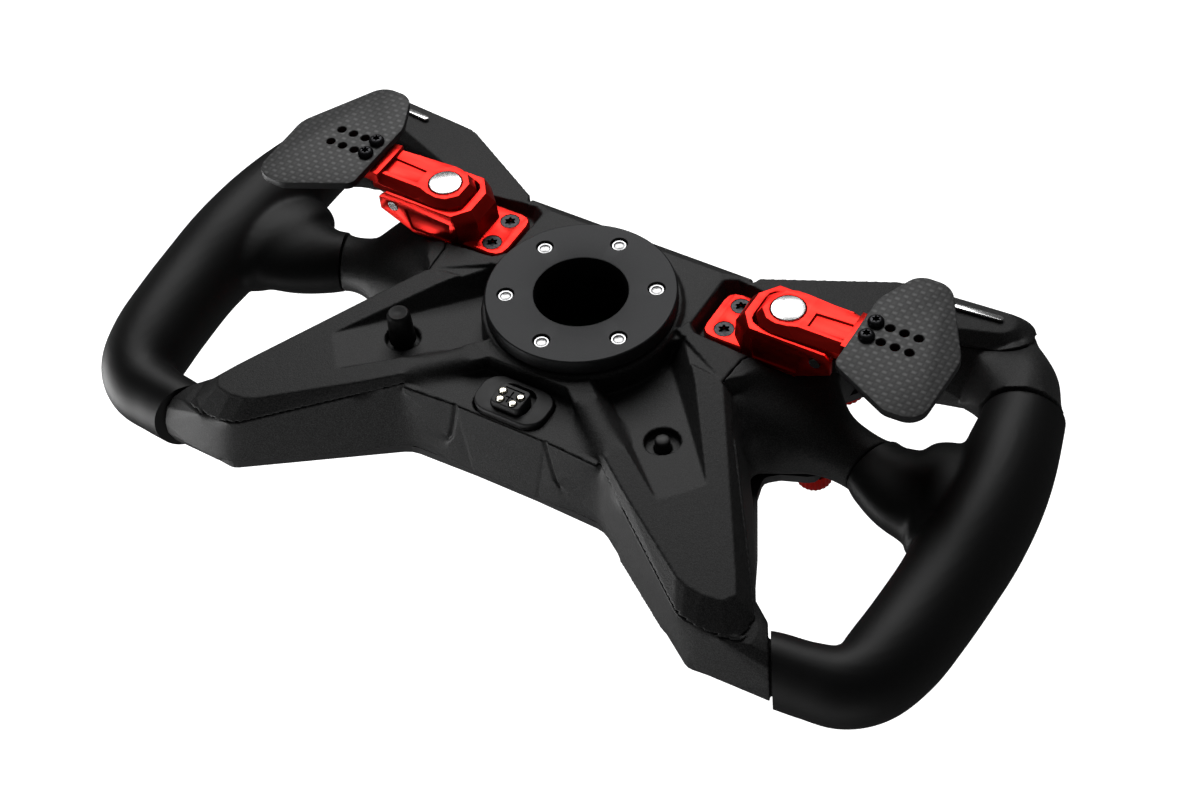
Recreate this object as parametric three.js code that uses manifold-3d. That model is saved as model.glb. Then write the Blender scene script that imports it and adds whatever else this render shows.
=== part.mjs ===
// A sim-racing wheel of the open "butterfly" kind, lying flat with its rear face up.
// +X is to the right as the rear face is seen, +Y is the wheel's top, and +Z points
// out of the rear face, towards the wheelbase. The origin is the centre of the hub's
// mounting face. All sizes are in millimetres. The wheel is symmetric about X = 0,
// so most pieces are drawn once, on the right, and mirrored.

import * as THREE from 'three';
import { mergeVertices } from 'three/addons/utils/BufferGeometryUtils.js';
import { ConvexGeometry } from 'three/addons/geometries/ConvexGeometry.js';
import Module from 'manifold-3d';

const wasm = await Module();
wasm.setup();

// ---- driving dimensions ------------------------------------------------------

const GAP = 0.3;              // clearance between neighbouring pieces
const FAR = 400;              // half-size of the blocks that only cut

const FRONT_Z = -42.3;        // front edge of the housing
const PLATE_THICK = 3.2;      // front plate
const REAR_WALL_Z = -22;      // inner face of the housing's rear wall
const SEAM_Z = -18.5;         // joint between cover and housing, away from the lower edge

const HUB_RADIUS = 32.7;
const HUB_THICK = 5.5;
const SPIGOT_RADIUS = 29.5;
const BORE_RADIUS = 16;
const BOLT_RADIUS = 25.4;     // six M5 inserts on a 50.8 mm circle
const INSERT_RADIUS = 2.5;

const PIVOT = { x: 82.9, z: -3.4, radius: 2 };        // paddle hinge pin
const MAGNET = { x: 67.4, y: 20.6, radius: 6 };       // magnet at the lever's inner end
const LEVER_TOP = 4.3;
const PLATE_TOP = 9.1;        // paddle plate
const PADDLE_THICK = 3;
const ROW_Y = [16.5, 23.4];   // the two rows of holes in a paddle plate
const HOLE_X = [97.6, 102.65, 107.7, 112.75];

const RECESS = { x: 50.7, y: -35.2, radius: 6.1, floor: -17 };   // round wells in the cover
const POD = { y: -44.5, top: -10.4, base: -14.2 };               // charging connector
const BOARD_Z = -38;          // circuit board, component side towards the front

// ---- materials ---------------------------------------------------------------

function material(color, roughness, metalness) {
  return new THREE.MeshStandardMaterial({ color, roughness, metalness });
}

const nylon = () => material(0x17181a, 0.72, 0);
const anodisedBlack = () => material(0x1b1c1f, 0.5, 0.6);
const anodisedRed = () => material(0xc8141d, 0.32, 0.75);
const carbon = () => material(0x2a2b2d, 0.45, 0.1);
const softRubber = () => material(0x101112, 0.62, 0);
const nickel = () => material(0xd9dadb, 0.2, 1);
const blackSteel = () => material(0x1c1c1e, 0.4, 0.8);
const gloss = () => material(0x0b0b0c, 0.3, 0);
const boardGreen = () => material(0x123524, 0.55, 0.05);
const gold = () => material(0xe6d9b0, 0.25, 1);

// ---- solids ------------------------------------------------------------------

const model = new THREE.Group();

function point(x, y, z) {
  return new THREE.Vector3(x, y, z);
}

/** A closed three.js geometry as a manifold solid. */
function solid(geometry) {
  const bare = geometry.clone();
  bare.deleteAttribute('normal');
  bare.deleteAttribute('uv');
  const merged = mergeVertices(bare, 1e-4);
  return new wasm.Manifold(new wasm.Mesh({
    numProp: 3,
    vertProperties: new Float32Array(merged.attributes.position.array),
    triVerts: new Uint32Array(merged.index.array),
  }));
}

/** A manifold solid as a three.js geometry. */
function geometryOf(body) {
  const mesh = body.getMesh();
  const geometry = new THREE.BufferGeometry();
  geometry.setAttribute('position', new THREE.BufferAttribute(mesh.vertProperties, 3));
  geometry.setIndex(new THREE.BufferAttribute(mesh.triVerts, 1));
  geometry.computeVertexNormals();
  return geometry;
}

/** The biggest body of a solid, without the slivers that cuts leave behind. */
function biggest(body) {
  return body.decompose().reduce((best, piece) => (piece.volume() > best.volume() ? piece : best));
}

function union(bodies) {
  return bodies.reduce((sum, body) => sum.add(body));
}

/** The same geometry on the wheel's other side. */
function mirrored(geometry) {
  const other = geometry.clone();
  other.scale(-1, 1, 1);
  const order = other.index.array;
  for (let i = 0; i < order.length; i += 3) {
    [order[i], order[i + 1]] = [order[i + 1], order[i]];
  }
  return other;
}

function both(body) {
  return body.add(solid(mirrored(geometryOf(body))));
}

/** Convex solid around [x, y, z] points. */
function hull(points) {
  return solid(new ConvexGeometry(points.map(([x, y, z]) => point(x, y, z))));
}

/** Whole outline from its right-hand half, listed from the top round to the bottom. */
function mirroredOutline(half) {
  return [...half, ...half.map(([x, y, radius]) => [-x, y, radius]).reverse()];
}

/** The outline points [x, y] lifted to a height, which may be a function of x and y. */
function level(outline, z) {
  return outline.map(([x, y]) => [x, y, typeof z === 'function' ? z(x, y) : z]);
}

/** A closed outline whose corners [x, y, radius] are rounded. */
function roundedShape(corners) {
  const shape = new THREE.Shape();
  corners.forEach(([x, y, radius = 0], i) => {
    const corner = new THREE.Vector2(x, y);
    const before = new THREE.Vector2(...corners.at(i - 1).slice(0, 2)).sub(corner).normalize();
    const after = new THREE.Vector2(...corners[(i + 1) % corners.length].slice(0, 2));
    after.sub(corner).normalize();
    const half = Math.acos(THREE.MathUtils.clamp(before.dot(after), -1, 1)) / 2;
    const reach = radius / Math.tan(half);
    const start = corner.clone().addScaledVector(before, reach);
    const end = corner.clone().addScaledVector(after, reach);
    if (i === 0) shape.moveTo(start.x, start.y);
    else shape.lineTo(start.x, start.y);
    if (radius > 0) shape.quadraticCurveTo(x, y, end.x, end.y);
  });
  shape.closePath();
  return shape;
}

/** A flat plate between two heights, with chamfered edges if asked. */
function plate(corners, low, high, chamfer = 0, curveSegments = 3) {
  const geometry = new THREE.ExtrudeGeometry(roundedShape(corners), {
    depth: high - low - 2 * chamfer,
    bevelEnabled: chamfer > 0,
    bevelThickness: chamfer,
    bevelSize: chamfer,
    bevelOffset: -chamfer,
    bevelSegments: 1,
    curveSegments,
  });
  geometry.translate(0, 0, low + chamfer);
  return solid(geometry);
}

/** A turned piece on the Z axis through (x, y); profile points are [radius, z]. */
function turned(profile, x = 0, y = 0, segments = 24) {
  const points = profile.map(([radius, z]) => new THREE.Vector2(radius, z));
  const geometry = new THREE.LatheGeometry(points, segments);
  geometry.rotateX(Math.PI / 2);
  geometry.translate(x, y, 0);
  return solid(geometry);
}

/** A round bar along Z. */
function bar(x, y, low, high, radius, segments = 12) {
  const geometry = new THREE.CylinderGeometry(radius, radius, high - low, segments);
  geometry.rotateX(Math.PI / 2);
  geometry.translate(x, y, (low + high) / 2);
  return solid(geometry);
}

/** A round bar along Y. */
function crossBar(x, z, low, high, radius, segments = 12) {
  const geometry = new THREE.CylinderGeometry(radius, radius, high - low, segments);
  geometry.translate(x, (low + high) / 2, z);
  return solid(geometry);
}

/** A rectangular block between two corners. */
function block([x0, y0, z0], [x1, y1, z1]) {
  const geometry = new THREE.BoxGeometry(x1 - x0, y1 - y0, z1 - z0);
  geometry.translate((x0 + x1) / 2, (y0 + y1) / 2, (z0 + z1) / 2);
  return solid(geometry);
}

/** An elliptical ring of points across a path that runs along `heading` in plan. */
function ring({ at: [x, y, z], heading, wide, high = wide }, sides) {
  const across = [-Math.sin(heading), Math.cos(heading)];
  return Array.from({ length: sides }, (_, i) => {
    const angle = (i + 0.5) * 2 * Math.PI / sides;
    const out = wide * Math.cos(angle);
    return [x + out * across[0], y + out * across[1], z + high * Math.sin(angle)];
  });
}

/** A closed tube through a row of rings, with flat ends. */
function tube(stations, sides) {
  const points = stations.flatMap((station) => ring(station, sides));
  const last = points.length - sides;
  const faces = [];
  for (let start = 0; start < last; start += sides) {
    for (let i = 0; i < sides; i += 1) {
      const a = start + i;
      const b = start + (i + 1) % sides;
      faces.push(a, b, a + sides, b, b + sides, a + sides);
    }
  }
  for (let i = 1; i < sides - 1; i += 1) {
    faces.push(0, i + 1, i, last, last + i, last + i + 1);
  }
  const geometry = new THREE.BufferGeometry();
  geometry.setAttribute('position', new THREE.Float32BufferAttribute(points.flat(), 3));
  geometry.setIndex(faces);
  return solid(geometry);
}

function addGeometry(name, geometry, finish) {
  const mesh = new THREE.Mesh(geometry, finish);
  mesh.name = name;
  model.add(mesh);
}

/** Adds one named piece to the model. */
function add(name, body, finish) {
  addGeometry(name, geometryOf(body), finish);
}

function addPair(name, body, finish) {
  const geometry = geometryOf(body);
  addGeometry(`${name}_right`, geometry, finish());
  addGeometry(`${name}_left`, mirrored(geometry), finish());
}

// ---- casing: outlines on the right-hand side -----------------------------------

/** The cover is a shallow pyramid round the hub. */
function roof(x, y) {
  return -HUB_THICK - GAP - 0.13 * (Math.hypot(x, y) - 35);
}

/** Lower edge of the cover: level under the hub, falling towards the lower corners. */
function lowerSeam(x, y) {
  return Math.min(-13, -13 - 0.129 * (x - 37.5) + 0.12 * (y + 54.8));
}

/** Lower edge of the cover along the upper arm. */
function armSeam(x) {
  return SEAM_Z - 0.13 * (x - 84);
}

const TOP_EDGE = [[38, 37.8], [44, 38.9]];
const CENTRE_TOP = [[34, 35.5], [57.6, -6.8], [38, -26], [14.8, -35]];
const CENTRE_FOOT = [[38, 38.6], [46, 41], [59, -6], [38, -28], [16, -36]];
const LEDGE = [[11, -31], [40, -31], [37.5, -54.8], [14.6, -53.3]];
const SHOULDER = [[46.1, 40.4], [86.8, 66.2], [86, 43.5], [86, 24], [60.2, 7.7], [58.5, 4], [57.8, -2],
  [57.6, -6.8], [34, 4]];
const ARM_TOP = [[80, 60], [88, 66.5], [104.7, 69.4], [115.6, 71.6], [126.9, 73.6], [129.3, 72.9],
  [129.6, 70.8], [127.7, 65.6], [124.9, 62.8], [108.5, 58.1], [94.1, 53], [89.4, 50.1], [82, 43]];
const ARM_FOOT = [[80, 59], [88, 66.9], [104.7, 70.4], [126, 76.2], [129.8, 77.2], [131.8, 77.6],
  [134.7, 76], [137, 73], [136.3, 70.2], [134.2, 65.4], [132.6, 62], [130.5, 60.3], [127, 58.6],
  [116.2, 54.2], [96, 48.6], [82, 41]];
const LOWER_TOP = [[34, -6], [57.6, -6.8], [64.2, -17.6], [95.7, -68.9], [99.6, -76], [97, -80],
  [91, -81.3], [84.5, -80.8], [80.4, -79.3], [49.6, -59.6], [14.8, -35]];
const LOWER_FOOT = [[36, -4], [59.4, -5.5], [67, -17], [99.8, -68.5], [107, -77], [106.3, -84],
  [102, -87.5], [92, -88.8], [87, -88.2], [83.6, -86.7], [45.5, -59.2], [18, -36.5]];
const LOWER_FRONT = [[36, 0], [62, 2], [82, -32], [99.5, -64], [104, -72], [107, -90.5],
  [93, -91.8], [87.8, -91.2], [37.8, -56.7], [18, -40]];
const CENTRE_BODY = [[38, -40], [-2, -40]];

/** The casing's middle, which is the same on both sides. */
function centreBlocks() {
  const bodyTop = mirroredOutline([[38, 38.6], [45, 40], [60, 0], [38, -40]]);
  const bodyFoot = mirroredOutline([[38, 37.6], [45, 39], [60, 0], [38, -40]]);
  return union([
    hull([
      ...level(mirroredOutline(CENTRE_TOP), roof),
      ...level(mirroredOutline(TOP_EDGE), -9.2),
      ...level(mirroredOutline(CENTRE_FOOT), SEAM_Z),
    ]),
    hull([...level(bodyTop, SEAM_Z - 1), ...level(bodyFoot, FRONT_Z)]),
    hull([
      ...level(mirroredOutline([[16, -30], [17.4, -53.6]]), -12.5),
      ...level(mirroredOutline([[16, -30], [12, -55.6]]), FRONT_Z),
    ]),
  ]);
}

/** Right-hand half of everything else inside the casing's outer faces. */
function sideBlocks() {
  const ledge = hull([
    ...level(LEDGE, -12.5),
    ...level(LEDGE, -13.2),
    ...level([[11, -31], [40, -31], [36.8, -56.2], [11, -55.3]], FRONT_Z),
  ]);
  const shoulder = hull([
    ...level(SHOULDER, roof),
    ...level(SHOULDER, SEAM_Z),
    ...level([[46, 39.2], [86, 65], [81, 38], [84, 25], [82, 10], [78, 0], [60, -8], [34, 4]], FRONT_Z),
  ]);
  const arm = hull([...level(ARM_TOP, roof), ...level(ARM_FOOT, armSeam)]);
  const armBody = hull([
    ...level(ARM_FOOT, armSeam),
    ...level([[80, 40], [83, 62], [118, 68], [131, 70], [134.5, 63], [131, 50], [124, 46.5], [112, 45]],
      FRONT_Z),
  ]);
  const lower = hull([...level(LOWER_TOP, roof), ...level(LOWER_FOOT, lowerSeam)]);
  const lowerBody = hull([...level(LOWER_FOOT, lowerSeam), ...level(LOWER_FRONT, FRONT_Z)]);
  return union([ledge, shoulder, arm, armBody, lower, lowerBody]);
}

// ---- grips: seams and centre line ------------------------------------------------

// Each heading points from the casing into the grip.
const TOP_SEAM = { at: [143, 43.5, -31.5], heading: -1.3, wide: 13.5 };
const MIDDLE_SEAM = { at: [106.3, 5.7, -38.8], heading: -0.4, wide: 10.9, high: 9.2 };
const BOTTOM_SEAM = { at: [113.4, -81.2, -40.4], heading: 0.51, wide: 9.9, high: 13.2 };
const SEAMS = [TOP_SEAM, MIDDLE_SEAM, BOTTOM_SEAM];

const SEAM_GAP = 0.8;
const TENON = { length: 5, step: 2.2 };

/** The grip lies in a slightly tilted plane. */
function gripZ(y) {
  return -35.9 + 0.051 * y;
}

/** Rings along a plan line of [x, y, wide, high] points in the grip's plane. */
function along(points) {
  return points.map(([x, y, wide, high = wide], i) => {
    const [x0, y0] = points[Math.max(i - 1, 0)];
    const [x1, y1] = points[Math.min(i + 1, points.length - 1)];
    return { at: [x, y, gripZ(y)], heading: Math.atan2(y1 - y0, x1 - x0), wide, high };
  });
}

const GRIP_PATH = along([
  [142.2, 47, 13.7],
  [144, 40, 14.2],
  [146.5, 24, 15.8],
  [148.3, 8, 16.6],
  [148.9, -10, 16.9],
  [149, -28, 16],
  [147.9, -44.4, 15.7],
  [146.2, -58.5, 15.4],
  [142.9, -70.5, 14.2, 14.6],
  [136.4, -77.6, 12.6, 13.8],
  [126.1, -80.2, 11.2, 13.6],
  [113.4, -82, 10.7, 13.8],
  [104, -87, 10.5, 13.6],
]);

const BRANCH_PATH = [
  { at: [103, 7, -39], heading: -0.4, wide: 11.4, high: 9.8 },
  { at: [107, 5.4, -38.7], heading: -0.4, wide: 11.6, high: 10 },
  { at: [113, 2.6, -38.2], heading: -0.3, wide: 13.6, high: 10.6 },
  { at: [121, 0.8, -37.5], heading: -0.1, wide: 17, high: 11.6 },
  { at: [131, 1.5, -36.8], heading: 0, wide: 23, high: 13.2 },
  { at: [146, 0, -36.4], heading: 0, wide: 27, high: 13.4 },
];

const CORE_RADIUS = 4.5;
const CORE_PATH = [
  { at: [139.8, 54, -31], heading: -1.25 },
  ...GRIP_PATH.slice(1, -1),
  { at: [105, -85.5, -39.5], heading: -2.63 },
];

/** Everything on one side of an upright plane across a seam. */
function beyond({ at: [x, y], heading }, sign, gap = 0) {
  const geometry = new THREE.BoxGeometry(FAR, FAR, FAR);
  geometry.translate(sign * FAR / 2 + gap, 0, 0);
  geometry.rotateZ(heading);
  geometry.translate(x, y, 0);
  return solid(geometry);
}

/** The seam's ring moved along its heading, and grown or shrunk. */
function shifted({ at: [x, y, z], heading, wide, high = wide }, distance, grow = 0) {
  const at = [x + distance * Math.cos(heading), y + distance * Math.sin(heading), z];
  return { at, heading, wide: wide + grow, high: high + grow };
}

/** Stub on a neck that the grip slides over. */
function tenon(seam, clearance = 0) {
  const grow = clearance - TENON.step;
  return tube([shifted(seam, -3, grow), shifted(seam, TENON.length + clearance, grow)], 14);
}

/** The three necks that carry the right-hand grip. */
function necks() {
  const top = hull([
    ...ring(shifted(TOP_SEAM, 1.5), 14),
    ...ring({ at: [138.8, 56, -31], heading: -1.2, wide: 11.8 }, 14),
    ...level([[118, 58], [120, 71], [131, 76], [135.5, 72], [134, 65], [128, 58.5]], -25.5),
    ...level([[118, 46], [120, 65], [131, 70], [136, 62], [133, 50]], -41.5),
  ]);
  const spoke = hull([
    ...ring(shifted(MIDDLE_SEAM, 1.5), 14),
    ...ring({ at: [86, 3.5, -32.5], heading: -0.2, wide: 13.5, high: 11 }, 14),
  ]);
  const root = hull([
    ...ring({ at: [92, 3, -33], heading: -0.25, wide: 12.5, high: 11 }, 12),
    ...level([[60, -10], [58, 6], [76, 22], [84, 22]], -14.5),
    ...level([[66, -18], [60, 6], [80, 25], [86.5, 17], [91, 10], [91, -4], [79, -12]], FRONT_Z),
  ]);
  const bottom = hull([
    ...ring(shifted(BOTTOM_SEAM, 1.5), 14),
    ...level([[92, -72], [103.2, -70.5], [106.5, -78], [104, -86], [98, -88.5], [92, -88.8]], -24.5),
    ...level([[92, -72], [103, -71], [107, -88], [107, -90.8], [92, -91.8]], -42),
  ]);
  return union([
    top.subtract(beyond(TOP_SEAM, 1)),
    spoke.add(root).subtract(beyond(MIDDLE_SEAM, 1)),
    bottom.subtract(beyond(BOTTOM_SEAM, 1)),
    ...SEAMS.map((seam) => tenon(seam)),
  ]);
}

// ---- casing: cover, housing and front plate ----------------------------------------

/** Everything above the joint between cover and housing; the joint is moved down by `slack`. */
function aboveSeam(slack = 0) {
  const side = [[57.6 + slack, -8], [58.5 + slack, 4], [60.2 + slack, 7.7], [88, 22], [88, FAR]];
  const upper = plate(mirroredOutline(side), SEAM_Z - slack, 50);
  const ledge = block([-FAR, -FAR, -13 - slack], [FAR, -7.9, 50]);
  const innerPlan = mirroredOutline([[30, -44], [84, -74], [88, -70], [60, -20], [52, -6]]);
  const inner = plate(innerPlan, SEAM_Z - slack, 50);
  const lowerPlan = [[20, -7.9], [FAR, -7.9], [FAR, -FAR], [20, -FAR]];
  const lowerFall = (x, y) => -13 - slack - 0.129 * (x - 37.5) + 0.12 * (y + 54.8);
  const lower = hull([...level(lowerPlan, lowerFall), ...level(lowerPlan, 80)]);
  const spread = 0.015 + slack / 16;
  const armPlan = [[76, 40], [76, 60], ...ARM_FOOT].map(
    ([x, y]) => [x + spread * (x - 105), y + spread * (y - 61)]);
  const arm = hull([...level(armPlan, (x) => armSeam(x) - slack), ...level(armPlan, 80)]);
  return union([upper, ledge, inner, both(lower), both(arm)]);
}

/** Long shallow trough that runs from the hub down the lower arm. */
function valley() {
  const floor = [[19.5, -20.5, -15.5], [63.5, -60, -12.3], [74.5, -47.5, -12.4], [33.5, -0.5, -15.4]];
  const rim = [[10.5, -30.5], [54.5, -71], [86.5, -39.5], [44.5, 8.5]];
  return hull([...floor, ...level(rim, 6.5)]);
}

/** Sloped-wall pocket that takes the paddle bracket, open towards the finger gap. */
function bracketPocket() {
  const floor = [[38.4, 11], [38.4, 31.8], [42, 34.2], [100, 34.2], [100, 8.2], [42, 8.2]];
  const rim = [[33.5, 8.6], [33.5, 34.7], [38.4, 39.1], [100, 39.1], [100, 3.8], [38.4, 3.8]];
  return hull([...level(floor, -13.6), ...level(rim, 0)]);
}

function rearCover(casing) {
  const seat = -HUB_THICK - GAP;
  const collar = turned([[0, SEAM_Z], [34.4, SEAM_Z], [34.4, -6.6], [33.6, seat], [0, seat]], 0, 0, 36);
  const well = bar(RECESS.x, RECESS.y, RECESS.floor, 0, RECESS.radius, 16);
  const cuts = union([valley(), bracketPocket(), ...bracketHoles(1.9)]);
  const carved = casing.intersect(aboveSeam(-GAP / 3)).subtract(both(cuts)).add(collar).subtract(both(well));
  const connectorWell = plate(connectorOutline(0.3), -30, 0);
  const nubHoles = bar(RECESS.x, RECESS.y, -30, 0, 3, 16);
  return carved.subtract(bar(0, 0, -30, 0, SPIGOT_RADIUS + 2 * GAP, 32))
    .subtract(connectorWell)
    .subtract(both(nubHoles));
}

/** Hollows inside the housing, open at the front, on the right-hand side. */
function trays() {
  return union([
    hull([
      ...level([[0, 34.5], [37, 34.5], [42, 35.5], [74, 12], [74, -6], [52, -14], [34, -46], [0, -46]],
        REAR_WALL_Z),
      ...level([[0, 34], [37, 34], [42, 35], [74, 12], [74, -6], [52, -14], [34, -49], [0, -44.5]], -60),
    ]),
    hull([
      ...level([[36, 34], [46, 36], [84, 60.5], [79, 34], [74, 22], [50, 0]], REAR_WALL_Z),
      ...level([[36, 34], [46, 35.5], [84, 60], [77, 34], [74, 22], [50, 0]], -60),
    ]),
    hull([
      ...level([[84, 57], [86, 63], [118, 67], [118, 59], [92, 54]], -27),
      ...level([[82, 56], [84, 61], [118, 64], [118, 51.5], [90, 47.5]], -60),
    ]),
    hull([
      ...level([[40, -10], [60, -12], [92, -68], [88, -82], [40, -49]], -28),
      ...level([[40, -10], [62, -12], [94, -68], [90, -86], [40, -53]], -60),
    ]),
    bar(...BUTTONS[2], -60, -38, BUTTON_RADIUS + 0.5, 12),
    bar(KNOBS[1][0], KNOBS[1][1], -60, -39.5, 3.3, 12),
  ]);
}

function frontHousing(casing) {
  const inserts = union([...bracketHoles(1.8), bar(RECESS.x, RECESS.y, -60, 0, 3.4, 16)]);
  const clearance = 1.006;
  const rebate = frontOutline().map(([x, y, radius]) => [x * clearance, y * clearance, radius]);
  return casing.subtract(aboveSeam(GAP * 2 / 3))
    .subtract(both(trays()))
    .subtract(both(inserts.add(bracketPocket())))
    .subtract(plate(rebate, -60, FRONT_Z, 0, 2))
    .subtract(bar(0, 0, -60, 0, SPIGOT_RADIUS + 2 * GAP, 32))
    .subtract(plate(connectorOutline(0.3), -30, 0));
}

function frontOutline() {
  return mirroredOutline([[37, 37.2, 2], [45.5, 38.4, 8], [86.5, 64, 6], [126, 67.4, 5], [131.5, 62, 5],
    [129, 50.5, 4], [112, 46.5, 6], [88, 38.5, 6], [81.6, 30, 5], [84.5, 19, 4], [91, 11, 5], [90.5, -4.5, 4],
    [79.5, -8.8, 3], [75, -12.6, 3], [76.8, -20, 4], [88.5, -42, 4], [97.5, -61.5, 6], [102.5, -74, 6],
    [104.5, -88.6, 4], [89, -90, 5], [38.2, -55, 10], [12, -54.2, 10]]);
}

function frontPlate() {
  const top = FRONT_Z - GAP;
  const sheet = plate(frontOutline(), top - PLATE_THICK, top, 0, 2);
  const holes = [
    ...BUTTONS.map(([x, y]) => bar(x, y, -60, 0, BUTTON_RADIUS + 0.4, 12)),
    ...KNOBS.map(([x, y]) => bar(x, y, -60, 0, 3.3, 8)),
  ];
  return sheet.subtract(both(union(holes)));
}

// ---- hub -----------------------------------------------------------------------

function insertPlaces() {
  return Array.from({ length: 6 }, (_, i) => {
    const angle = Math.PI / 2 - i * Math.PI / 3;
    return [BOLT_RADIUS * Math.cos(angle), BOLT_RADIUS * Math.sin(angle)];
  });
}

function hubFlange() {
  const profile = [
    [BORE_RADIUS, -9], [BORE_RADIUS, -0.5], [BORE_RADIUS + 0.5, 0], [HUB_RADIUS - 0.7, 0], [HUB_RADIUS, -0.7],
    [HUB_RADIUS, -HUB_THICK], [SPIGOT_RADIUS, -HUB_THICK], [SPIGOT_RADIUS, -27], [19, -27], [19, -9],
  ];
  const holes = insertPlaces().map(([x, y]) => bar(x, y, -14, 5, INSERT_RADIUS + GAP, 12));
  const body = turned([...profile, profile[0]].reverse(), 0, 0, 36);
  return body.subtract(union(holes));
}

// ---- paddle --------------------------------------------------------------------

const BRACKET_SCREWS = [[46.1, 26.9], [46.1, 15]];

function bracketHoles(radius) {
  return BRACKET_SCREWS.map(([x, y]) => bar(x, y, -30, 0, radius, 12));
}

function bracket() {
  const base = plate([[39.3, 9.8, 5], [39.3, 32, 5], [60, 32, 0], [60, 9.8, 0]], -13.3, -10.3, 0.5);
  const cradle = hull([
    ...level([[50.3, 14], [50.3, 27], [56, 32.4], [75, 32.4], [75, 8.9], [56, 8.9]], -13.3),
    [88.5, 8.9, -6.5], [88.5, 32.4, -6.5], [88.5, 8.9, -1], [88.5, 32.4, -1],
    ...level([[51, 14.4], [51, 26.6], [56.6, 32.3], [56.6, 9]], -3),
    ...level([[54, 15.6], [54, 25.4], [58.6, 31.6], [86, 31.6], [86, 9.7], [58.6, 9.7]], 1),
  ]);
  const slot = plate([[56.8, 12.7, 4.6], [56.8, 28.5, 4.6], [66, 30.6, 4], [100, 30.6], [100, 10.6],
    [66, 10.6, 4]], -8, 10);
  const panel = hull([...level([[59, 8], [78, 8]], -2.8), ...level([[60, 8], [76, 8]], -11.6),
    ...level([[59, 9.7], [78, 9.7]], -2.8), ...level([[60, 9.7], [76, 9.7]], -11.6)]);
  const sinks = BRACKET_SCREWS.map(([x, y]) => turned(
    [[0, -20], [1.8, -20], [1.8, -12.4], [3.6, -10.7], [3.6, -5], [0, -5]], x, y, 12));
  const pinHole = crossBar(PIVOT.x, PIVOT.z, 0, 40, PIVOT.radius + GAP);
  return base.add(cradle).subtract(union([slot, panel, ...sinks, pinHole]));
}

function lever() {
  const noseFoot = [[57.7, 16], [57.7, 25.2], [61, 29], [66, 30.4], [74, 30.1], [74, 11.1],
    [66, 10.8], [61, 12.2]];
  const noseTop = [[59.6, 17.2], [59.6, 24], [63, 28], [66.5, 29.2], [70.5, 29.3], [74, 29.1], [74, 14.6],
    [70.5, 13.4], [66.5, 12.8], [63, 13.6]];
  const nose = hull([...level(noseFoot, -1), ...level(noseFoot, 1.6), ...level(noseTop, LEVER_TOP)]);
  const shankFoot = [[70, 30.25], [93, 28.8], [93, 12.2], [70, 10.95]];
  const shankTop = [[70, 29.3], [93, 27.9], [93, 14.8], [70, 14.6]];
  const shank = hull([...level(shankFoot, -1), ...level(shankFoot, 1.6), ...level(shankTop, LEVER_TOP)]);
  const under = PLATE_TOP - PADDLE_THICK - GAP;
  const tongue = plate([[90.5, 12.2], [90.5, 28.8], [116, 27, 3], [116, 13, 3]], 1.6, under);
  const lug = crossBar(PIVOT.x, PIVOT.z, 13, 28.2, 3.5).add(
    block([PIVOT.x - 3.5, 13, PIVOT.z], [PIVOT.x + 3.5, 28.2, 0]));
  const channel = hull([...level([[77, 16.7], [77, 22.6], [95, 23.6], [95, 16.7]], 3.5),
    ...level([[76, 16], [76, 23.2], [95, 24.3], [95, 16]], 5)]);
  const cuts = [
    channel,
    bar(MAGNET.x, MAGNET.y, -5, 10, MAGNET.radius + GAP, 18),
    crossBar(PIVOT.x, PIVOT.z, 0, 40, PIVOT.radius + GAP),
    ...ROW_Y.map((y) => bar(HOLE_X[0], y, -5, 10, 1.8, 8)),
  ];
  return union([nose, shank, tongue, lug]).subtract(union(cuts));
}

function paddlePlate() {
  const outline = [[93.3, 1.6, 4], [93.3, 34, 9], [100.4, 49.5, 7], [112.4, 49.7, 8], [128.8, 21, 12],
    [128.2, -8.7, 7], [116, -9.3, 7]];
  const sheet = plate(outline, PLATE_TOP - PADDLE_THICK, PLATE_TOP, 0.6, 5);
  const holes = ROW_Y.flatMap((y) => HOLE_X.map((x) => bar(x, y, 0, 20, x === HOLE_X[0] ? 1.8 : 1.6, 8)));
  return sheet.subtract(union(holes));
}

function plateScrew(y) {
  const z = PLATE_TOP + GAP;
  const profile = [[0, 2.4], [1.4, 2.4], [1.4, z], [2.75, z], [2.6, z + 1], [1.7, z + 1.7], [0, z + 1.7]];
  return turned(profile, HOLE_X[0], y, 10);
}

function bracketScrew([x, y]) {
  return turned([[0, -20.5], [1.45, -20.5], [1.45, -12.3], [3.2, -10.6], [0, -10.6]], x, y, 10);
}

// ---- connector, rear buttons, controls --------------------------------------------

/** Rounded rectangle round (x, y). */
function rectangle(x, y, halfWide, halfDeep, radius) {
  return [[-1, -1], [-1, 1], [1, 1], [1, -1]].map(([i, j]) => [x + i * halfWide, y + j * halfDeep, radius]);
}

function connectorOutline(grow = 0) {
  return rectangle(0, POD.y, 13.2 + grow, 8 + grow, 6.4);
}

const ISLAND = { y: -45.8, base: -12.6, top: -7.4 };

function connectorPod() {
  const window = plate(rectangle(0, POD.y, 7, 6.4, 4.4), -13, 0);
  return plate(connectorOutline(), POD.base, POD.top, 0.5).subtract(window);
}

const CONTACTS = [[-3.4, 0.8], [3.4, 0.8], [-2.4, -2.6], [2.4, -2.6]];

function connectorInsulator() {
  const island = plate(rectangle(0, ISLAND.y, 5.5, 4.5, 1.6), ISLAND.base, ISLAND.top, 0.4);
  return island.subtract(union(CONTACTS.map(([x, y]) => bar(x, ISLAND.y + y, -11.6, 0, 1.5, 12))));
}

const BUTTON_RADIUS = 5.5;
const BUTTONS = [[22, 26], [58, 36], [104, 57], [26, -28]];
const KNOBS = [[76.5, 43, 8.4], [86.4, 2.4, 6.2]];      // centre and radius
const FACE_Z = FRONT_Z - GAP - PLATE_THICK;

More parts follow.
